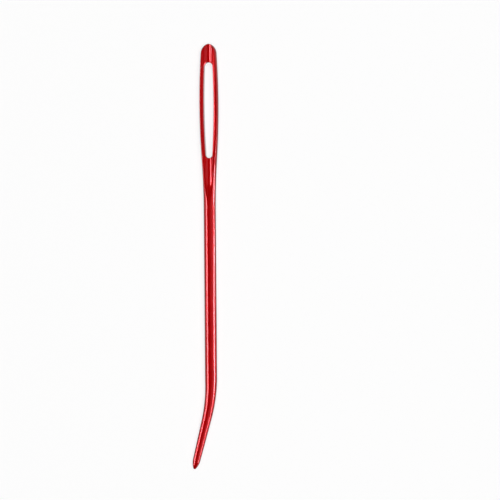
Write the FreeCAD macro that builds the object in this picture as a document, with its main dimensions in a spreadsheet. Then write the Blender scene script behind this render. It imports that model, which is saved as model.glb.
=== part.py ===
"""Bent-tip yarn needle: one piece of round wire with a flattened head, a long eye and a blunt tip.

The needle is drawn with its long axis along Y: the eye end points to +Y and the tip bends towards -X.
The start of the bend, on the wire's axis, is the origin of the drawing, and the head's two faces look
along +Z and -Z. At the end the needle is turned until neck, bend and nose all touch the plane Z = 0,
which is how it lies on a table.
"""

import FreeCAD, Part
import math
import os
import Sketcher

# Driving sizes in millimetres and degrees. Places along the head are measured from its apex or, where
# the name says so, from the neck, where the head passes into the round shank.
SIZES = {
    # Wire and blank
    "wire_diameter": 2.25,
    "straight_length": 61.6,
    "head_length": 30.8,
    "head_width": 3.55,
    "head_widest": 11.1,
    "head_side_radius": 150.0,
    "arch_radius": 1.9,
    "apex_radius": 0.9,
    # Flat faces of the head
    "head_thickness": 1.7,
    "flat_runout": 23.0,
    "fade_to_neck": 2.2,
    "face_edge_radius": 0.3,
    # Shallow dish in each face, so that the rails slope towards the eye
    "dish_radius": 3.5,
    "dish_depth": 0.23,
    "dish_runout": 196.0,
    # Thread gutter above and below the eye, in the floor of the dish
    "gutter_radius": 0.85,
    "gutter_depth": 0.47,
    "gutter_runout": 64.0,
    # Eye
    "eye_start": 3.45,
    "eye_to_neck": 9.85,
    "eye_width": 1.85,
    "eye_top_radius": 0.78,
    "eye_bottom_radius": 0.62,
    "eye_edge_radius": 0.15,
    # Bend and tip
    "bend_radius": 30.0,
    "bend_angle": 14.4,
    "bend_end_diameter": 1.75,
    "tip_length": 9.2,
    "nose_diameter": 1.42,
    "nose_length": 1.84,
    "nose_radius": 0.3,
}

# Place of the neck on the needle's axis
NECK = "(Sizes.straight_length - Sizes.head_length)"
# End of the bend, seen from its start
BEND_DROP = "Sizes.bend_radius * sin(Sizes.bend_angle * 1 deg)"
BEND_SHIFT = "Sizes.bend_radius * (1 - cos(Sizes.bend_angle * 1 deg))"
# Place where flat, dish and gutter fade into the shank
FADE = NECK + " + Sizes.fade_to_neck"
# Height of the head's flat faces, a height that is clear of the shank, and a place beyond the apex
FACE_HEIGHT = "Sizes.head_thickness / 2"
CLEAR_HEIGHT = "Sizes.wire_diameter"
BEYOND_APEX = "Sizes.straight_length + Sizes.wire_diameter"

# Points of a sketch element and the sketch's own axes and origin, as constraints name them
START, END, CENTRE = range(1, 4)
X_AXIS, Y_AXIS = range(-1, -3, -1)
ORIGIN = (X_AXIS, START)

# First guesses in degrees, for which the constraints of a sketch find the true angles: lean of an
# outline from the long axis, and slope where the round apex and the round nose begin
LEAN, APEX_JOIN, NOSE_JOIN = 3, 60, 25

# Kinds of surface, and the difference at which two sizes count as the same
PLANE, CYLINDER, TORUS = "Part::GeomPlane", "Part::GeomCylinder", "Part::GeomToroid"
SAME = 1e-4


def make_sheet(doc):
    """The spreadsheet that every feature takes its sizes from."""
    sheet = doc.addObject("Spreadsheet::Sheet", "Sizes")
    for row, (name, value) in enumerate(SIZES.items(), start=1):
        sheet.set("A%d" % row, name)
        sheet.set("B%d" % row, str(value))
        sheet.setAlias("B%d" % row, name)
    doc.recompute()


def origin_plane(body, role):
    """One of the body's own origin planes."""
    return next(plane for plane in body.Origin.OriginFeatures if plane.Role == role)


def add_sketch(body, name, role, turn=None, **offsets):
    """A sketch on an origin plane, shifted and turned by bound attachment offsets."""
    sketch = body.newObject("Sketcher::SketchObject", name)
    sketch.AttachmentSupport = [(origin_plane(body, role), "")]
    sketch.MapMode = "FlatFace"
    if turn:
        axis, expression = turn
        sketch.AttachmentOffset = FreeCAD.Placement(FreeCAD.Vector(), FreeCAD.Rotation(axis, 1))
        sketch.setExpression("AttachmentOffset.Rotation.Angle", expression)
    for direction, expression in offsets.items():
        sketch.setExpression("AttachmentOffset.Base." + direction, expression)
    return sketch


def constrain(sketch, kind, *cases):
    """The same kind of geometric constraint for several sets of elements or points."""
    for case in cases:
        sketch.addConstraint(Sketcher.Constraint(kind, *case))


def size(sketch, kind, where, name, expression):
    """A dimension of the sketch, bound to the sheet."""
    value = float(sketch.evalExpression(expression))
    index = sketch.addConstraint(Sketcher.Constraint(kind, *where, value))
    sketch.renameConstraint(index, name)
    sketch.setExpression("Constraints." + name, expression)


def line(x1, y1, x2, y2):
    """Straight line between two points of a sketch."""
    return Part.LineSegment(FreeCAD.Vector(x1, y1, 0), FreeCAD.Vector(x2, y2, 0))


def arc(x, y, radius, start, end):
    """Arc about (x, y), counter-clockwise between two angles in degrees."""
    circle = Part.Circle(FreeCAD.Vector(x, y, 0), FreeCAD.Vector(0, 0, 1), radius)
    return Part.ArcOfCircle(circle, math.radians(start), math.radians(end))


def add_circle(sketch, height, radius):
    """A circle about a point on the sketch's vertical axis."""
    centre = FreeCAD.Vector(0, sketch.evalExpression(height), 0)
    sketch.addGeometry(Part.Circle(centre, FreeCAD.Vector(0, 0, 1), sketch.evalExpression(radius)))
    constrain(sketch, "PointOnObject", (0, CENTRE, Y_AXIS))
    size(sketch, "DistanceY", ORIGIN + (0, CENTRE), "height", height)
    size(sketch, "Radius", (0,), "radius", radius)


def turned(body, name, sketch):
    """The sketch turned about its own vertical axis."""
    feature = body.newObject("PartDesign::Revolution", name)
    feature.Profile = sketch
    feature.ReferenceAxis = (sketch, ["V_Axis"])
    feature.Angle = 360
    return feature


def neck_place():
    """Place of the neck on the needle's axis, as a number."""
    return SIZES["straight_length"] - SIZES["head_length"]


def blank_outline(body):
    """Half outline of the round blank: shank, swelling head and gothic arch with a rounded apex.

    The side leaves the shank and reaches its widest place in two equal and opposite arcs.
    """
    wire = SIZES["wire_diameter"] / 2
    length = SIZES["straight_length"]
    neck = neck_place()
    widest = length - SIZES["head_widest"]
    half_width = SIZES["head_width"] / 2
    side = SIZES["head_side_radius"]
    arch = SIZES["arch_radius"]
    apex = SIZES["apex_radius"]
    sketch = add_sketch(body, "blank_outline", "XY_Plane")
    sketch.addGeometry([
        line(0, 0, wire, 0),
        line(wire, 0, wire, neck),
        arc(wire + side, neck, side, 180 - LEAN, 180),
        arc(half_width - side, widest, side, -LEAN, 0),
        arc(half_width - side, widest, side, 0, LEAN),
        arc(half_width - arch, length - arch, arch, LEAN, APEX_JOIN),
        arc(0, length - apex, apex, APEX_JOIN, 90),
        line(0, length, 0, 0),
    ])
    constrain(sketch, "Coincident", (0, END, 1, START), (6, END, 7, START), (7, END, 0, START),
              (7, END) + ORIGIN)
    constrain(sketch, "Tangent", (1, END, 2, END), (2, START, 3, START), (3, END, 4, START),
              (4, END, 5, START), (5, END, 6, START))
    constrain(sketch, "Equal", (2, 3))
    constrain(sketch, "Horizontal", (0,), (3, CENTRE, 3, END))
    constrain(sketch, "Vertical", (1,), (7,))
    constrain(sketch, "PointOnObject", (6, CENTRE, Y_AXIS))
    size(sketch, "DistanceX", ORIGIN + (0, END), "wire", "Sizes.wire_diameter / 2")
    size(sketch, "DistanceY", ORIGIN + (1, END), "neck", NECK)
    size(sketch, "DistanceY", ORIGIN + (7, START), "apex", "Sizes.straight_length")
    size(sketch, "DistanceY", ORIGIN + (3, END), "widest", "Sizes.straight_length - Sizes.head_widest")
    size(sketch, "DistanceX", ORIGIN + (3, END), "half_width", "Sizes.head_width / 2")
    size(sketch, "Radius", (4,), "side", "Sizes.head_side_radius")
    size(sketch, "Radius", (5,), "arch", "Sizes.arch_radius")
    size(sketch, "Radius", (6,), "round_apex", "Sizes.apex_radius")
    return sketch


def bend_path(body):
    """Centre line of the bend, from the end of the straight shank."""
    radius = SIZES["bend_radius"]
    sketch = add_sketch(body, "bend_path", "XY_Plane")
    sketch.addGeometry(arc(-radius, 0, radius, -SIZES["bend_angle"], 0))
    constrain(sketch, "Coincident", (0, END) + ORIGIN)
    constrain(sketch, "PointOnObject", (0, CENTRE, X_AXIS))
    size(sketch, "Radius", (0,), "radius", "Sizes.bend_radius")
    size(sketch, "DistanceY", (0, START) + ORIGIN, "drop", BEND_DROP)
    return sketch


def bent_taper(body):
    """Round wire that thins along the bend."""
    upright = FreeCAD.Vector(0, -1, 0)
    first = add_sketch(body, "bend_start", "XZ_Plane")
    last = add_sketch(body, "bend_end", "XZ_Plane", (upright, "Sizes.bend_angle * 1 deg"),
                      x="-" + BEND_SHIFT, z=BEND_DROP)
    add_circle(first, "0", "Sizes.wire_diameter / 2")
    add_circle(last, "0", "Sizes.bend_end_diameter / 2")
    feature = body.newObject("PartDesign::AdditivePipe", "bend")
    feature.Profile = first
    feature.Sections = [last]
    feature.Spine = (bend_path(body), ["Edge1"])
    feature.Transformation = "Multisection"
    return feature


def tip_outline(body):
    """Half outline of the straight tip: slim cone, ogive nose and small round end."""
    base = SIZES["bend_end_diameter"] / 2
    nose = SIZES["nose_diameter"] / 2
    length = SIZES["tip_length"]
    cone = length - SIZES["nose_length"]
    round_end = SIZES["nose_radius"]
    ogive = SIZES["nose_length"] * 2
    axis = FreeCAD.Vector(0, 0, -1)
    sketch = add_sketch(body, "tip_outline", "XY_Plane", (axis, "Sizes.bend_angle * 1 deg"),
                        x="-" + BEND_SHIFT, y="-" + BEND_DROP)
    sketch.addGeometry([
        line(0, 0, base, 0),
        line(base, 0, nose, -cone),
        arc(nose - ogive, -cone, ogive, -NOSE_JOIN, 0),
        arc(0, round_end - length, round_end, -90, -NOSE_JOIN),
        line(0, -length, 0, 0),
    ])
    constrain(sketch, "Coincident", (0, END, 1, START), (3, START, 4, START), (4, END, 0, START),
              (4, END) + ORIGIN)
    constrain(sketch, "Tangent", (1, END, 2, END), (2, START, 3, END))
    constrain(sketch, "Horizontal", (0,))
    constrain(sketch, "Vertical", (4,))
    constrain(sketch, "PointOnObject", (3, CENTRE, Y_AXIS))
    size(sketch, "DistanceX", ORIGIN + (0, END), "base", "Sizes.bend_end_diameter / 2")
    size(sketch, "DistanceX", ORIGIN + (1, END), "nose", "Sizes.nose_diameter / 2")
    size(sketch, "DistanceY", (1, END) + ORIGIN, "cone", "Sizes.tip_length - Sizes.nose_length")
    size(sketch, "DistanceY", (4, START) + ORIGIN, "length", "Sizes.tip_length")
    size(sketch, "Radius", (3,), "round_end", "Sizes.nose_radius")
    return sketch


def floor_path(body, name, height_expression, runout):
    """Floor of a cut along the head, seen from the side.

    The floor runs level from beyond the apex and then rises in an arc, which passes the height of the
    shank's surface where all the cuts fade, and ends clear of the shank.
    """
    radius = SIZES[runout]
    fade = neck_place() + SIZES["fade_to_neck"]
    surface = SIZES["wire_diameter"] / 2
    sketch = add_sketch(body, name, "YZ_Plane")
    height = sketch.evalExpression(height_expression)
    level_end = fade + math.sqrt(2 * radius * (surface - height))
    sketch.addGeometry([
        line(SIZES["straight_length"], height, level_end, height),
        arc(level_end, height + radius, radius, -90 - LEAN, -90),
    ])
    sketch.addGeometry(Part.Point(FreeCAD.Vector(fade, surface, 0)), True)
    constrain(sketch, "Tangent", (0, END, 1, END))
    constrain(sketch, "Horizontal", (0,))
    constrain(sketch, "PointOnObject", (2, START, 1))
    size(sketch, "DistanceY", ORIGIN + (0, END), "floor", height_expression)
    size(sketch, "DistanceX", ORIGIN + (0, START), "beyond", BEYOND_APEX)
    size(sketch, "DistanceX", ORIGIN + (2, START), "fade", FADE)
    size(sketch, "DistanceY", ORIGIN + (2, START), "surface", "Sizes.wire_diameter / 2")
    size(sketch, "Radius", (1,), "runout", "Sizes." + runout)
    size(sketch, "DistanceY", ORIGIN + (1, START), "clear", CLEAR_HEIGHT)
    return sketch


def flat(body):
    """Flat upper face of the head, which rises to the shank's surface at the neck."""
    sketch = floor_path(body, "flat_side", FACE_HEIGHT, "flat_runout")
    top = 2 * SIZES["head_width"]
    far = SIZES["straight_length"]
    sketch.addGeometry([
        line(far / 2, SIZES["wire_diameter"], far / 2, top),
        line(far / 2, top, far, top),
        line(far, top, far, SIZES["head_thickness"] / 2),
    ])
    constrain(sketch, "Coincident", (1, START, 3, START), (3, END, 4, START), (4, END, 5, START),
              (5, END, 0, START))
    constrain(sketch, "Vertical", (3,), (5,))
    constrain(sketch, "Horizontal", (4,))
    size(sketch, "DistanceY", ORIGIN + (4, END), "top", "2 * Sizes.head_width")
    feature = body.newObject("PartDesign::Pocket", "flat")
    feature.Profile = sketch
    feature.Midplane = True
    feature.Type = "ThroughAll"
    return feature


def swept_cut(body, name, radius):
    """Round-bottomed cut along the head; its depth and run-out come from the sheet by its name."""
    floor = "%s - Sizes.%s_depth" % (FACE_HEIGHT, name)
    path = floor_path(body, name + "_floor", floor, name + "_runout")
    section = add_sketch(body, name + "_section", "XZ_Plane", z="-(%s)" % BEYOND_APEX)
    add_circle(section, floor + " + Sizes." + radius, "Sizes." + radius)
    feature = body.newObject("PartDesign::SubtractivePipe", name)
    feature.Profile = section
    feature.Spine = (path, ["Edge1", "Edge2"])
    return feature


def mirrored(body, name, features):
    """The same cuts on the head's other face."""
    feature = body.newObject("PartDesign::Mirrored", name)
    feature.Originals = features
    feature.MirrorPlane = (origin_plane(body, "XY_Plane"), [""])
    body.Tip = feature
    return feature


def eye_outline(body):
    """Long eye, widest in its upper half, with a larger round end towards the apex."""
    top = SIZES["straight_length"] - SIZES["eye_start"]
    bottom = neck_place() + SIZES["eye_to_neck"]
    top_radius = SIZES["eye_top_radius"]
    bottom_radius = SIZES["eye_bottom_radius"]
    half_width = SIZES["eye_width"] / 2
    middle = (top + bottom) / 2
    side = SIZES["head_side_radius"]
    sketch = add_sketch(body, "eye_outline", "XY_Plane")
    sketch.addGeometry([
        arc(0, top - top_radius, top_radius, LEAN, 180 - LEAN),
        arc(side - half_width, middle, side, 180 - LEAN, 180 + LEAN),
        arc(0, bottom + bottom_radius, bottom_radius, 180 + LEAN, -LEAN),
        arc(half_width - side, middle, side, -LEAN, LEAN),
    ])
    widest = sketch.addGeometry(Part.Point(FreeCAD.Vector(half_width, middle, 0)), True)
    constrain(sketch, "Tangent", (0, END, 1, START), (1, END, 2, START), (2, END, 3, START),
              (3, END, 0, START))
    constrain(sketch, "PointOnObject", (0, CENTRE, Y_AXIS), (2, CENTRE, Y_AXIS), (widest, START, 3))
    constrain(sketch, "Horizontal", (widest, START, 3, CENTRE))
    constrain(sketch, "Equal", (1, 3))
    size(sketch, "Radius", (0,), "top_radius", "Sizes.eye_top_radius")
    size(sketch, "Radius", (2,), "bottom_radius", "Sizes.eye_bottom_radius")
    size(sketch, "DistanceY", ORIGIN + (0, CENTRE), "top",
         "Sizes.straight_length - Sizes.eye_start - Sizes.eye_top_radius")
    size(sketch, "DistanceY", ORIGIN + (2, CENTRE), "bottom",
         NECK + " + Sizes.eye_to_neck + Sizes.eye_bottom_radius")
    size(sketch, "DistanceX", ORIGIN + (widest, START), "half_width", "Sizes.eye_width / 2")
    return sketch


def eye(body):
    """The eye, cut through the head from face to face."""
    feature = body.newObject("PartDesign::Pocket", "eye")
    feature.Profile = eye_outline(body)
    feature.Midplane = True
    feature.Type = "ThroughAll"
    return feature


def is_flat(face):
    """True for the level faces of the head and their run-outs, which curve about the X direction."""
    surface = face.Surface
    return surface.TypeId == PLANE or surface.TypeId == CYLINDER and abs(surface.Axis.x) > 0.5


def is_eye_wall(face):
    """True for the upright walls of the eye."""
    return face.Surface.TypeId == CYLINDER and abs(face.Surface.Axis.z) > 0.5


def is_gutter(face):
    """True for the level part of a gutter and for its rising run-out."""
    surface = face.Surface
    radius = {CYLINDER: "Radius", TORUS: "MinorRadius"}.get(surface.TypeId)
    return bool(radius) and abs(getattr(surface, radius) - SIZES["gutter_radius"]) < SAME


def rounded(body, name, base, chosen, radius, neighbour=None):
    """Round the edges between the chosen faces and all, or only the named kind of, their neighbours."""
    shape = base.Shape
    edges = []
    for number, edge in enumerate(shape.Edges, start=1):
        faces = shape.ancestorsOfType(edge, Part.Face)
        others = [face for face in faces if not chosen(face)]
        if len(others) == 1 and len(faces) == 2 and (neighbour is None or neighbour(others[0])):
            edges.append("Edge%d" % number)
    feature = body.newObject("PartDesign::Fillet", name)
    feature.Base = (base, edges)
    feature.setExpression("Radius", "Sizes." + radius)
    return feature


def make_needle(doc):
    """The whole needle, in the place where it is drawn."""
    body = doc.addObject("PartDesign::Body", "needle")
    body.Label = "needle"
    turned(body, "blank", blank_outline(body))
    bent_taper(body)
    turned(body, "tip", tip_outline(body))
    doc.recompute()
    flats = mirrored(body, "flats", [flat(body)])
    doc.recompute()
    rounded(body, "face_edges", flats, is_flat, "face_edge_radius")
    doc.recompute()
    mirrored(body, "dishes", [swept_cut(body, "dish", "dish_radius")])
    doc.recompute()
    rim = eye(body)
    doc.recompute()
    rounded(body, "eye_edges", rim, is_eye_wall, "eye_edge_radius")
    doc.recompute()
    gutters = mirrored(body, "gutters", [swept_cut(body, "gutter", "gutter_radius")])
    doc.recompute()
    rounded(body, "eye_ends", gutters, is_eye_wall, "eye_edge_radius", is_gutter)
    doc.recompute()
    return body


def lay_down(body):
    """Turn the needle until neck, bend and nose touch the table, and centre it over the origin.

    It rests on three circles: where the head is proud of the shank, where the bend starts and where
    the nose starts.
    """
    wire = SIZES["wire_diameter"] / 2
    nose = SIZES["nose_diameter"] / 2
    angle = math.radians(SIZES["bend_angle"])
    cone = SIZES["tip_length"] - SIZES["nose_length"]
    reach = SIZES["bend_radius"] * (1 - math.cos(angle)) + cone * math.sin(angle)
    drop = SIZES["bend_radius"] * math.sin(angle) + cone * math.cos(angle)
    proud = body.Shape.optimalBoundingBox(False).ZMax - wire
    slope = proud / (neck_place() + SIZES["fade_to_neck"])
    lean = (wire - nose - slope * drop) / reach
    down = FreeCAD.Vector(-lean, -slope, -math.sqrt(1 - lean ** 2 - slope ** 2))
    turn = FreeCAD.Rotation(down, FreeCAD.Vector(0, 0, -1))
    body.Placement = FreeCAD.Placement(FreeCAD.Vector(), turn)
    box = body.Shape.optimalBoundingBox(False)
    body.Placement = FreeCAD.Placement(FreeCAD.Vector(-box.Center.x, -box.Center.y, -box.ZMin), turn)


def check(doc, body):
    """Stop if a feature has failed or the solid isn't sound."""
    for item in doc.Objects:
        if "Invalid" in item.State or "Error" in item.State:
            raise RuntimeError("feature failed: " + item.Name)
    shape = body.Shape
    if shape.isNull() or not shape.isValid() or len(shape.Solids) != 1:
        raise RuntimeError("unsound shape: " + body.Label)


def main():
    doc = FreeCAD.newDocument("yarn_needle")
    make_sheet(doc)
    needle = make_needle(doc)
    lay_down(needle)
    check(doc, needle)
    os.makedirs("parts", exist_ok=True)
    needle.Shape.exportStep("parts/%s.step" % needle.Label)


main()
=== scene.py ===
"""Bent-tip yarn needle in red anodised aluminium, lying on a pale table under soft studio lamps.

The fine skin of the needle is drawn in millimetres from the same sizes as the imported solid. Its long
axis runs along Y, and the head's faces look along +Z and -Z. A place t is counted from the apex of the
head, at the +Y end, towards the tip. At the end the skin is turned as the needle lies on the table, and
it takes the solid's own place.
"""

import math
from collections import namedtuple

import bmesh
import bpy
import numpy as np
from mathutils import Matrix, Vector


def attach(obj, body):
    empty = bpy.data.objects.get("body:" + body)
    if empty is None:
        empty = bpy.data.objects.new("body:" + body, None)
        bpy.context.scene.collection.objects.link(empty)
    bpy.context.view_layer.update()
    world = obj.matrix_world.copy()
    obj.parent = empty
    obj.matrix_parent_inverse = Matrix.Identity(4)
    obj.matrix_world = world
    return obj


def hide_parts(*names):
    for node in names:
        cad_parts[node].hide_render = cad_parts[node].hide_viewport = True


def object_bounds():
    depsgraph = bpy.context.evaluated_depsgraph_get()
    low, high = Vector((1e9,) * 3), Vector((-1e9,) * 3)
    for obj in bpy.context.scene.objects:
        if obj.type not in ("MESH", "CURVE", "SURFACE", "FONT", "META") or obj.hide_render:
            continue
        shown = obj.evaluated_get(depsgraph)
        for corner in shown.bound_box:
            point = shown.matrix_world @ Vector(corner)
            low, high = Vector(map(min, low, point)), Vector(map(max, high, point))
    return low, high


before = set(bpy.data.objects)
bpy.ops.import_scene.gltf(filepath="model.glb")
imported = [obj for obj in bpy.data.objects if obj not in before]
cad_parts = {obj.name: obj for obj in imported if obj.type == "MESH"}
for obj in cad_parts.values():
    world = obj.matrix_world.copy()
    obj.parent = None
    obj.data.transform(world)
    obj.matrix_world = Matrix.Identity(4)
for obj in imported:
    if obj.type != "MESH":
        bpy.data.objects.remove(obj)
cad_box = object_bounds()

MM = 0.001
TINY = 1e-9
HALVINGS = 50

# Wire and blank
WIRE_R, STRAIGHT, HEAD_LENGTH = 1.125, 61.6, 30.8
HEAD_HALF, WIDEST, SIDE_R = 1.775, 11.1, 150.0
ARCH_R, APEX_R = 1.9, 0.9
# All the cuts fade into the shank at one place, this far before the end of the head
FADE_GAP = 2.2
FADE = HEAD_LENGTH - FADE_GAP
# From this far past that place on, the mesh's columns are even
EVEN_GAP = 0.5
# Flat faces and their rounded edges
FLAT_HALF, FLAT_RUNOUT, EDGE_R = 0.85, 23.0, 0.12
# Round-bottomed cuts: height of the floor over the middle plane, radius across and radius of the run-out
DISH_FLOOR, DISH_R, DISH_RUNOUT = 0.62, 3.5, 196.0
GUTTER_FLOOR, GUTTER_R, GUTTER_RUNOUT = 0.38, 0.85, 64.0
RIDGE_SOFTNESS = 0.045
# Height that stands for no cut, well over the blank
NO_CUT = 9.0
# Eye
EYE_START, EYE_END, EYE_HALF = 3.45, 20.95, 0.925
EYE_TOP_R, EYE_BOTTOM_R, RIM_R = 0.78, 0.62, 0.15
# Bend and tip, which is a cone, then an ogive and then a small sphere
BEND_R, BEND_ANGLE, BEND_END_R = 30.0, math.radians(14.4), 0.875
TIP_LENGTH, NOSE_LENGTH, NOSE_HALF, NOSE_R = 9.2, 1.84, 0.71, 0.3
CONE_LENGTH = TIP_LENGTH - NOSE_LENGTH
NOSE_CENTRE = TIP_LENGTH - NOSE_R
# Parts along -X and -Y of the unit vector that points down, in the lying needle's own axes
LEAN, SLOPE = 0.1475, 0.00041

# Rows of the mesh along head and shank
CURVE_ROWS, RIM_ROWS, APEX_ROWS, ARCH_ROWS = 11, 7, 8, 8
EYE_ROWS, NECK_ROWS, SHANK_ROWS = 45, 42, 28
# Extra rows just under the apex, and the rows of the arch, which crowd towards the apex
APEX_FIRST, APEX_LAST, ARCH_END, ARCH_CROWDING = 0.01, 0.12, 1.7, 1.3
# Places are rounded to so many digits, and a row that follows closer than the gap is left out
ROW_DIGITS, ROW_GAP = 5, 0.004
# Rows of bend and tip, each stretch counted with the row that it starts from
BEND_ROWS, CONE_ROWS, OGIVE_ROWS, NOSE_ROWS = 17, 9, 12, 9
WALL_STRIPS = 8
RIDGE_SAMPLES = 1200

# Drawn lines and cloudy tint of the finish, as scales for places in metres
DRAWN_SCALE, CLOUD_SCALE = (9000.0, 250.0, 9000.0), 350.0
DARK_RED, BRIGHT_RED = (0.42, 0.0002, 0.0008, 1), (0.48, 0.0004, 0.0016, 1)
DARK_AT, BRIGHT_AT = 0.3, 0.7
TABLE_HALF, TABLE_GREY, FLOOR_GLOW = 1.5, 0.28, 0.745
STRIP_TINT, WHITE, WORLD_GREY = (1.0, 0.95, 1.08), (1.0, 1.0, 1.0), 0.02

# The photograph's side in pixels and a pixel's size in millimetres on the table, then what its centre
# looks at in millimetres, and its turn in degrees
PHOTO_SIDE, PIXEL = 500, 0.18367
LOOK_X, LOOK_Y, LOOK_TURN = 8.189, 1.1335, -0.445
LENS, CLIP_NEAR, CLIP_FAR = 200, 0.05, 10

Span = namedtuple("Span", "columns least spacing")


def evenly(steps):
    return steps


def crowded_at_start(steps):
    return steps ** 2


def crowded_at_ends(steps):
    return (steps + (1 - np.cos(np.pi * steps)) / 2) / 2


def eased(count):
    """Shares from 0 to 1, close together at 0."""
    return 1 - np.cos(np.linspace(0, math.pi / 2, count))


# Spans of a quarter section: columns, least share of the way from the start to the side, and spacing
SPANS = (
    Span(6, 0.0, crowded_at_start),  # rim of the eye
    Span(6, 0.03, crowded_at_ends),  # gutter
    Span(8, 0.1, crowded_at_ends),  # dish
    Span(4, 0.02, crowded_at_ends),  # flat rail
    Span(6, 0.04, evenly),  # rounded edge
    Span(12, 0.05, evenly),  # side
)
COLUMNS = sum(span.columns for span in SPANS)


def centre_between(first, first_reach, second, second_reach):
    """Point at the given distances from two centres, on the side farther from the apex."""
    gap = math.dist(first, second)
    along = (first_reach ** 2 - second_reach ** 2 + gap ** 2) / (2 * gap)
    off = math.sqrt(first_reach ** 2 - along ** 2)
    x, t = (second[0] - first[0]) / gap, (second[1] - first[1]) / gap
    foot = (first[0] + along * x, first[1] + along * t)
    ends = [(foot[0] - sign * off * t, foot[1] + sign * off * x) for sign in (-1, 1)]
    return max(ends, key=lambda end: end[1])


SIDE_CENTRE = (HEAD_HALF - SIDE_R, WIDEST)
SWELL = HEAD_HALF - WIRE_R
# The side reaches the shank in two equal and opposite arcs
NECK_R = ((HEAD_LENGTH - WIDEST) ** 2 + SWELL ** 2) / (4 * SWELL)
ARCH_CENTRE = centre_between(SIDE_CENTRE, SIDE_R - ARCH_R, (0, APEX_R), ARCH_R - APEX_R)
# Places at which the arcs of the blank's outline meet
T_APEX = APEX_R + (APEX_R - ARCH_CENTRE[1]) * APEX_R / (ARCH_R - APEX_R)
T_ARCH = WIDEST + (ARCH_CENTRE[1] - WIDEST) * SIDE_R / (SIDE_R - ARCH_R)
T_NECK = (WIDEST + HEAD_LENGTH) / 2


def blank_half(t):
    """Radius of the round blank at t."""
    if t <= T_APEX:
        return math.sqrt(APEX_R ** 2 - (APEX_R - t) ** 2)
    if t <= T_ARCH:
        return ARCH_CENTRE[0] + math.sqrt(ARCH_R ** 2 - (ARCH_CENTRE[1] - t) ** 2)
    if t <= WIDEST:
        return SIDE_CENTRE[0] + math.sqrt(SIDE_R ** 2 - (t - WIDEST) ** 2)
    if t <= T_NECK:
        return HEAD_HALF - NECK_R + math.sqrt(NECK_R ** 2 - (t - WIDEST) ** 2)
    if t <= HEAD_LENGTH:
        return WIRE_R + NECK_R - math.sqrt(NECK_R ** 2 - (HEAD_LENGTH - t) ** 2)
    return WIRE_R


def eye_side():
    """Radius and centre of the arcs that bound the eye at its sides."""
    top_room, bottom_room = EYE_HALF - EYE_TOP_R, EYE_HALF - EYE_BOTTOM_R
    length = EYE_END - EYE_BOTTOM_R - EYE_START - EYE_TOP_R
    # Limits between which the radius is searched for
    low, high = 10.0, 1000.0
    while high - low > TINY:
        radius = (low + high) / 2
        upper = math.sqrt(top_room * (2 * radius - EYE_HALF - EYE_TOP_R))
        lower = math.sqrt(bottom_room * (2 * radius - EYE_HALF - EYE_BOTTOM_R))
        if upper + lower > length:
            high = radius
        else:
            low = radius
    return radius, (EYE_HALF - radius, EYE_START + EYE_TOP_R + upper)


EYE_SIDE_R, EYE_SIDE = eye_side()
EYE_TOP = (0.0, EYE_START + EYE_TOP_R)
EYE_BOTTOM = (0.0, EYE_END - EYE_BOTTOM_R)


def side_angle(x, t):
    """Direction of a point from the centre of the eye's side arc."""
    return np.arctan2(t - EYE_SIDE[1], x - EYE_SIDE[0])


def eye_distance(x, t):
    """Distance of a point at x >= 0 from the eye's outline, positive outside it."""
    angle = side_angle(x, t)
    top = np.hypot(x, t - EYE_TOP[1]) - EYE_TOP_R
    bottom = np.hypot(x, t - EYE_BOTTOM[1]) - EYE_BOTTOM_R
    side = np.hypot(x - EYE_SIDE[0], t - EYE_SIDE[1]) - EYE_SIDE_R
    past_side = np.where(angle > side_angle(*EYE_BOTTOM), bottom, side)
    return np.where(angle < side_angle(*EYE_TOP), top, past_side)


def eye_half(t):
    """Half width of the eye at t, which is 0 where there is no eye."""
    if not EYE_START <= t <= EYE_END:
        return 0.0
    low, high = 0.0, EYE_HALF
    for _ in range(HALVINGS):
        middle = (low + high) / 2
        if eye_distance(middle, t) < 0:
            low = middle
        else:
            high = middle
    return low


def level_length(floor, runout):
    """Length of a cut's level floor, from which it rises in an arc to the shank's surface at FADE."""
    return FADE - math.sqrt(runout ** 2 - (runout - WIRE_R + floor) ** 2)


FLAT_LENGTH = level_length(FLAT_HALF, FLAT_RUNOUT)
EVEN_FROM = FADE + EVEN_GAP


def cut_height(t, floor, runout, reach):
    """Height of a cut over the middle plane, with the run-out's radius at the point as its reach."""
    run = max(0.0, t - level_length(floor, runout))
    return floor + runout - np.sqrt(reach ** 2 - run ** 2)


def groove(x, t, floor, radius, runout):
    """Height of a round-bottomed cut over the middle plane."""
    reach = runout - radius + np.sqrt(np.clip(radius ** 2 - x ** 2, 0, None))
    return np.where(x < radius, cut_height(t, floor, runout, reach), NO_CUT)


def dish(x, t):
    return groove(x, t, DISH_FLOOR, DISH_R, DISH_RUNOUT)


def gutter(x, t):
    return groove(x, t, GUTTER_FLOOR, GUTTER_R, GUTTER_RUNOUT)


def soft_min(a, b):
    """The lower of two heights, with the ridge between them rounded off."""
    share = np.clip(1 - np.abs(a - b) / RIDGE_SOFTNESS, 0, None)
    return np.minimum(a, b) - share ** 2 * RIDGE_SOFTNESS / 4


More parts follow.
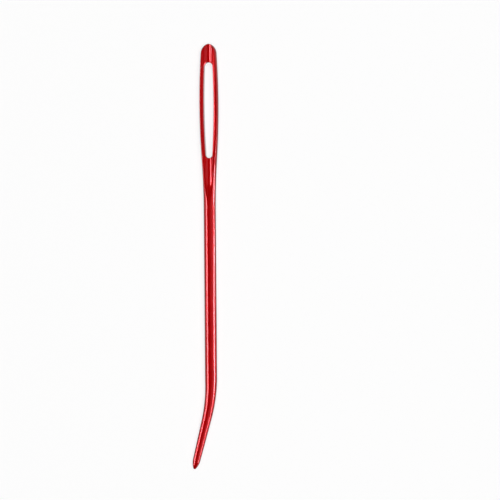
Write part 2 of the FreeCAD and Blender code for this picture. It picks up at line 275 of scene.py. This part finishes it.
class Section:
    """Upper right quarter of the section at t.

    A point of it is given by its way along the blank's flattened outline, from the middle to the side.
    """

    def __init__(self, t):
        self.t = t
        self.half = self.flat = blank_half(t)
        if t < HEAD_LENGTH:
            self.flat = min(self.half, cut_height(t, FLAT_HALF, FLAT_RUNOUT, FLAT_RUNOUT))
        self.edge = min(EDGE_R, self.half / 2) if self.flat < self.half else 0.0
        low = self.flat - self.edge
        self.level = math.sqrt(max(0.0, (self.half - self.edge) ** 2 - low ** 2))
        turn = math.atan2(low, self.level)
        self.edge_end = self.level + self.edge * (math.pi / 2 - turn)
        self.length = self.edge_end + self.half * turn

    def outline(self, way):
        """Point of the flattened outline, which is flat, then a rounded edge and then the round side."""
        edge_turn = math.pi / 2 - (way - self.level) / max(self.edge, TINY)
        side_turn = np.clip((self.length - way) / max(self.half, TINY), 0, math.pi / 2)
        edge_x = self.level + self.edge * np.cos(edge_turn)
        edge_z = self.flat - self.edge + self.edge * np.sin(edge_turn)
        stretches = [way < self.level, way < self.edge_end]
        x = np.select(stretches, [way, edge_x], self.half * np.cos(side_turn))
        z = np.select(stretches, [self.flat, edge_z], self.half * np.sin(side_turn))
        return x, z

    def points(self, way):
        """The same with dish, gutter and the eye's rounded rim cut in."""
        x, z = self.outline(way)
        if self.t < HEAD_LENGTH:
            cut = soft_min(dish(x, self.t), gutter(x, self.t))
            z = np.where(z > 0, soft_min(z, cut), z)
            inward = np.clip(1 - eye_distance(x, self.t) / RIM_R, 0, 1)
            z = z - RIM_R * (1 - np.sqrt(1 - inward ** 2)) * (z > RIM_R)
        return x, z

    def ridges(self):
        """Ways at which the gutter and the dish end."""
        way = np.linspace(0, self.length, RIDGE_SAMPLES)
        x, z = self.outline(way)
        in_gutter = gutter(x, self.t) < np.minimum(dish(x, self.t), z)
        in_dish = (dish(x, self.t) < z) | in_gutter
        return [way[kind].max(initial=0.0) for kind in (in_gutter, in_dish)]

    def marks(self):
        """Ways at which the spans start and end, each span with its least share of the length."""
        start = eye_half(self.t)
        room = self.length - start
        places = [start]
        wishes = [start + RIM_R, *self.ridges(), self.level, self.edge_end, self.length]
        for k, wish in enumerate(wishes):
            rest = sum(span.least for span in SPANS[k + 1:])
            end = max(wish, places[-1] + SPANS[k].least * room)
            places.append(min(end, self.length - rest * room))
        return places

    def ways(self):
        """Ways of all the columns, from the middle or the eye's edge to the side."""
        even = np.linspace(0, self.length, COLUMNS + 1)
        if self.t >= HEAD_LENGTH:
            return even
        marks = self.marks()
        ways = [marks[0]]
        for span, low, high in zip(SPANS, marks, marks[1:]):
            steps = np.arange(1, span.columns + 1) / span.columns
            ways.extend(low + (high - low) * span.spacing(steps))
        # The columns even out smoothly where the flat faces run out
        share = np.clip((self.t - FLAT_LENGTH) / (EVEN_FROM - FLAT_LENGTH), 0, 1)
        share = share * share * (3 - 2 * share)
        return np.array(ways) * (1 - share) + even * share


def stations():
    """Places of the rows along head and shank, close together where the form turns quickly."""
    curve, rim = eased(CURVE_ROWS), RIM_R * eased(RIM_ROWS)
    rows = [
        ARCH_END * curve[1:] ** ARCH_CROWDING,
        np.linspace(APEX_FIRST, APEX_LAST, APEX_ROWS),
        np.linspace(ARCH_END, EYE_START - RIM_R, ARCH_ROWS),
        EYE_START - rim,
        EYE_START + EYE_TOP_R * curve,
        np.linspace(EYE_START + EYE_TOP_R, EYE_END - EYE_BOTTOM_R, EYE_ROWS),
        EYE_END - EYE_BOTTOM_R * curve,
        EYE_END + rim,
        np.linspace(EYE_END + RIM_R, HEAD_LENGTH, NECK_ROWS),
        np.linspace(HEAD_LENGTH, STRAIGHT, SHANK_ROWS),
    ]
    every = np.unique(np.round(np.concatenate(rows), ROW_DIGITS))
    keep = [every[0]]
    for t in every[1:]:
        if t - keep[-1] > ROW_GAP or t in (EYE_START, EYE_END):
            keep.append(t)
    return keep


def tip_half(s):
    """Radius of the straight tip at the distance s from the end of the bend."""
    fall = BEND_END_R - NOSE_HALF
    if s <= CONE_LENGTH:
        return BEND_END_R - fall * s / CONE_LENGTH
    slope = math.atan2(fall, CONE_LENGTH)
    reach = NOSE_CENTRE - CONE_LENGTH
    # The ogive's arc leaves the cone at its slope and touches the sphere
    ogive_r = (NOSE_HALF ** 2 + reach ** 2 - NOSE_R ** 2) / 2
    ogive_r /= NOSE_HALF * math.cos(slope) - reach * math.sin(slope) - NOSE_R
    x, along = NOSE_HALF - ogive_r * math.cos(slope), CONE_LENGTH - ogive_r * math.sin(slope)
    touch = along + (NOSE_CENTRE - along) * ogive_r / (ogive_r - NOSE_R)
    if s <= touch:
        return x + math.sqrt(ogive_r ** 2 - (s - along) ** 2)
    return math.sqrt(max(0.0, NOSE_R ** 2 - (s - NOSE_CENTRE) ** 2))


def bent_rows():
    """Centre, side direction and radius of each row of the bend and the tip."""
    rows = []
    for angle in np.linspace(0, BEND_ANGLE, BEND_ROWS)[1:]:
        centre = (BEND_R * (math.cos(angle) - 1), -BEND_R * math.sin(angle))
        radius = WIRE_R + (BEND_END_R - WIRE_R) * angle / BEND_ANGLE
        rows.append((centre, (math.cos(angle), -math.sin(angle)), radius))
    corner, side, _ = rows[-1]
    along = (side[1], -side[0])
    cone = np.linspace(0, CONE_LENGTH, CONE_ROWS)
    ogive = np.linspace(CONE_LENGTH, NOSE_CENTRE, OGIVE_ROWS)
    nose = TIP_LENGTH - NOSE_R * eased(NOSE_ROWS)[::-1]
    for s in [*cone[1:], *ogive[1:], *nose[1:]]:
        centre = (corner[0] + along[0] * s, corner[1] + along[1] * s)
        rows.append((centre, side, tip_half(s)))
    return rows


class Skin:
    """Vertices and faces of the whole needle, in millimetres.

    A ring holds the numbers of a row's vertices, from top to bottom, for the side at +X (1) and the side
    at -X (-1). Where the row crosses the eye, it also holds those of the eye's wall.
    """

    def __init__(self):
        self.points, self.faces = [], []
        apex = self.add(0, STRAIGHT, 0)
        rings = [self.straight_ring(t) for t in stations()]
        rings += [self.bent_ring(*row) for row in bent_rows()]
        for before, after in zip(rings, rings[1:]):
            for sign in (1, -1):
                self.strip(before[sign], after[sign], sign < 0)
                if (sign, "wall") in before and (sign, "wall") in after:
                    self.strip(before[sign, "wall"], after[sign, "wall"], sign > 0)
        for sign in (1, -1):
            self.strip([apex] * len(rings[0][sign]), rings[0][sign], sign < 0)

    def add(self, x, y, z):
        """The number of a new vertex."""
        self.points.append((x, y, z))
        return len(self.points) - 1

    def strip(self, first, second, flip):
        """Faces between two lines of vertices."""
        for k in range(len(first) - 1):
            quad = (first[k], first[k + 1], second[k + 1], second[k])
            self.faces.append(quad[::-1] if flip else quad)

    def straight_ring(self, t):
        """Ring of the head or the shank."""
        section = Section(t)
        x, z = section.points(section.ways())
        z[-1] = 0
        y = STRAIGHT - t
        ring = {}
        for sign in (1, -1):
            upper = [self.add(sign * a, y, b) for a, b in zip(x, z)]
            lower = [self.add(sign * a, y, -b) for a, b in zip(x, z)]
            ring[sign] = upper[:-1] + lower[::-1]
            if EYE_START <= t <= EYE_END:
                heights = np.linspace(z[0], -z[0], WALL_STRIPS + 1)
                ring[sign, "wall"] = [self.add(sign * x[0], y, height) for height in heights]
        return ring

    def bent_ring(self, centre, side, radius):
        """Ring of the bend or the tip."""
        turns = np.linspace(math.pi / 2, -math.pi / 2, 2 * COLUMNS + 1)
        ring = {1: [], -1: []}
        for sign, numbers in ring.items():
            for turn in turns:
                reach = sign * radius * math.cos(turn)
                x, y = centre[0] + reach * side[0], centre[1] + reach * side[1]
                numbers.append(self.add(x, y, radius * math.sin(turn)))
        return ring


def laid_down(points):
    """The needle as it lies, in metres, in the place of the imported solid."""
    down = Vector((-LEAN, -SLOPE, -math.sqrt(1 - LEAN ** 2 - SLOPE ** 2)))
    turn = np.array(down.rotation_difference(Vector((0, 0, -1))).to_matrix())
    turned = points @ turn.T * MM
    low, high = np.array(cad_box[0]), np.array(cad_box[1])
    shift = (low + high) / 2 - (turned.min(axis=0) + turned.max(axis=0)) / 2
    return np.clip(turned + shift, low, high)


def add_object(name, data):
    """New object in the scene."""
    item = bpy.data.objects.new(name, data)
    bpy.context.scene.collection.objects.link(item)
    return item


def add_mesh(name, points, faces):
    """New mesh object in the scene."""
    mesh = bpy.data.meshes.new(name)
    mesh.from_pydata(points, [], faces)
    return add_object(name, mesh)


def weld(mesh, same_point=1e-7, no_length=1e-8):
    """Join the vertices that fall together, at distances in metres, and turn all faces outwards."""
    work = bmesh.new()
    work.from_mesh(mesh)
    bmesh.ops.remove_doubles(work, verts=work.verts, dist=same_point)
    bmesh.ops.dissolve_degenerate(work, edges=work.edges, dist=no_length)
    bmesh.ops.recalc_face_normals(work, faces=work.faces)
    work.to_mesh(mesh)
    work.free()


def make_needle():
    """The needle's one piece, which takes the place of the solid."""
    skin = Skin()
    needle = add_mesh("needle_skin", laid_down(np.array(skin.points)).tolist(), skin.faces)
    weld(needle.data)
    needle.data.shade_smooth()
    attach(needle, "root")
    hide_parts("needle")
    needle.data.materials.append(anodised())


def new_material(name):
    """New material with its node tree and main shader."""
    material = bpy.data.materials.new(name)
    material.use_nodes = True
    return material, material.node_tree, material.node_tree.nodes["Principled BSDF"]


def set_inputs(node, values):
    for name, value in values.items():
        node.inputs[name].default_value = value


def add_noise(tree, place, scale, detail):
    """Noise at the given place, as a socket."""
    noise = tree.nodes.new("ShaderNodeTexNoise")
    set_inputs(noise, {"Scale": scale, "Detail": detail})
    tree.links.new(place, noise.inputs["Vector"])
    return noise.outputs["Fac"]


def add_math(tree, operation, first, second):
    """Result of a calculation with a socket and a second socket or number."""
    node = tree.nodes.new("ShaderNodeMath")
    node.operation = operation
    tree.links.new(first, node.inputs[0])
    if isinstance(second, float):
        node.inputs[1].default_value = second
    else:
        tree.links.new(second, node.inputs[1])
    return node.outputs["Value"]


def anodised():
    """Dyed, clear oxide over bright drawn aluminium."""
    material, tree, shader = new_material("red_anodised")
    set_inputs(shader, {"Metallic": 0.2, "Specular IOR Level": 0.0})
    set_inputs(shader, {"Coat Weight": 1.0, "Coat Roughness": 0.12, "Coat IOR": 1.3})
    place = tree.nodes.new("ShaderNodeTexCoord").outputs["Object"]
    drawn = tree.nodes.new("ShaderNodeMapping")
    set_inputs(drawn, {"Scale": DRAWN_SCALE})
    tree.links.new(place, drawn.inputs["Vector"])
    lines = add_noise(tree, drawn.outputs["Vector"], scale=1.0, detail=3.0)
    cloud = add_noise(tree, place, scale=CLOUD_SCALE, detail=2.0)

    tint = tree.nodes.new("ShaderNodeValToRGB")
    stops = ((DARK_AT, DARK_RED), (BRIGHT_AT, BRIGHT_RED))
    for element, (position, colour) in zip(tint.color_ramp.elements, stops):
        element.position, element.color = position, colour
    tree.links.new(cloud, tint.inputs["Fac"])
    tree.links.new(tint.outputs["Color"], shader.inputs["Base Color"])

    rough = tree.nodes.new("ShaderNodeMapRange")
    set_inputs(rough, {"To Min": 0.2, "To Max": 0.26})
    tree.links.new(lines, rough.inputs["Value"])
    tree.links.new(rough.outputs["Result"], shader.inputs["Roughness"])

    bump = tree.nodes.new("ShaderNodeBump")
    set_inputs(bump, {"Strength": 0.05, "Distance": 0.000004})
    tree.links.new(lines, bump.inputs["Height"])
    tree.links.new(bump.outputs["Normal"], shader.inputs["Normal"])
    return material


def make_floor():
    """Grey table that glows white towards the camera and in reflections, and keeps the shadow."""
    signs = ((-1, -1), (1, -1), (1, 1), (-1, 1))
    corners = [(TABLE_HALF * x, TABLE_HALF * y, 0) for x, y in signs]
    floor = add_mesh("table_top", corners, [(0, 1, 2, 3)])
    material, tree, shader = new_material("pale_table")
    set_inputs(shader, {"Base Color": (TABLE_GREY, TABLE_GREY, TABLE_GREY, 1), "Roughness": 0.9})
    set_inputs(shader, {"Specular IOR Level": 0.0, "Emission Color": (1, 1, 1, 1)})
    path = tree.nodes.new("ShaderNodeLightPath")
    seen = path.outputs["Is Camera Ray"]
    for kind in ("Is Glossy Ray", "Is Transmission Ray"):
        seen = add_math(tree, "MAXIMUM", seen, path.outputs[kind])
    glow = add_math(tree, "MULTIPLY", seen, FLOOR_GLOW)
    tree.links.new(glow, shader.inputs["Emission Strength"])
    floor.data.materials.append(material)


def lamp(name, tilt, distance, width, length, radiance, along=0.0, highlight=True):
    """A soft lamp facing the needle, tilted about its axis from straight above.

    It gives the needle either only its highlights or only its body colour.
    """
    light = bpy.data.lights.new(name, "AREA")
    light.shape = "RECTANGLE"
    light.size, light.size_y = width, length
    light.energy = radiance * math.pi * width * length
    light.color = STRIP_TINT if highlight else WHITE
    body = add_object(name, light)
    angle = math.radians(tilt)
    place = Matrix.Translation((math.sin(angle) * distance, along, math.cos(angle) * distance))
    body.matrix_world = place @ Matrix.Rotation(angle, 4, "Y")
    body.visible_camera = False
    body.visible_diffuse = not highlight
    body.visible_glossy = highlight


def light_up():
    """Strips for the highlights, a lamp overhead for the body colour, and a dim world."""
    lamp("left_strip", tilt=-64, distance=0.5, width=0.18, length=0.6, radiance=19.0)
    lamp("right_card", tilt=40, distance=0.6, width=0.5, length=0.8, radiance=0.9)
    lamp("right_strip_head", tilt=85, distance=0.5, width=0.09, length=0.018, radiance=80.0, along=0.002)
    lamp("right_strip_shank", tilt=70, distance=0.5, width=0.15, length=0.133, radiance=38.0, along=-0.0735)
    lamp("right_strip_tip", tilt=70, distance=0.5, width=0.15, length=0.267, radiance=16.0, along=-0.2735)
    lamp("overhead", tilt=5, distance=1.0, width=0.8, length=0.8, radiance=4.9, highlight=False)
    world = bpy.data.worlds.new("studio")
    world.use_nodes = True
    set_inputs(world.node_tree.nodes["Background"], {"Color": (WORLD_GREY, WORLD_GREY, WORLD_GREY, 1)})
    bpy.context.scene.world = world


def place_camera():
    """Camera straight above the table, which frames as much of it as the photograph."""
    data = bpy.data.cameras.new("camera")
    data.lens = LENS
    data.clip_start, data.clip_end = CLIP_NEAR, CLIP_FAR
    view = add_object("camera", data)
    half_frame = PHOTO_SIDE / 2 * PIXEL * MM
    height = half_frame / (data.sensor_width / 2 / data.lens)
    view.location = (LOOK_X * MM, LOOK_Y * MM, height)
    view.rotation_euler = (0, 0, math.radians(LOOK_TURN))
    bpy.context.scene.camera = view


make_needle()
make_floor()
light_up()
place_camera()
bpy.context.scene.view_settings.view_transform = "Standard"
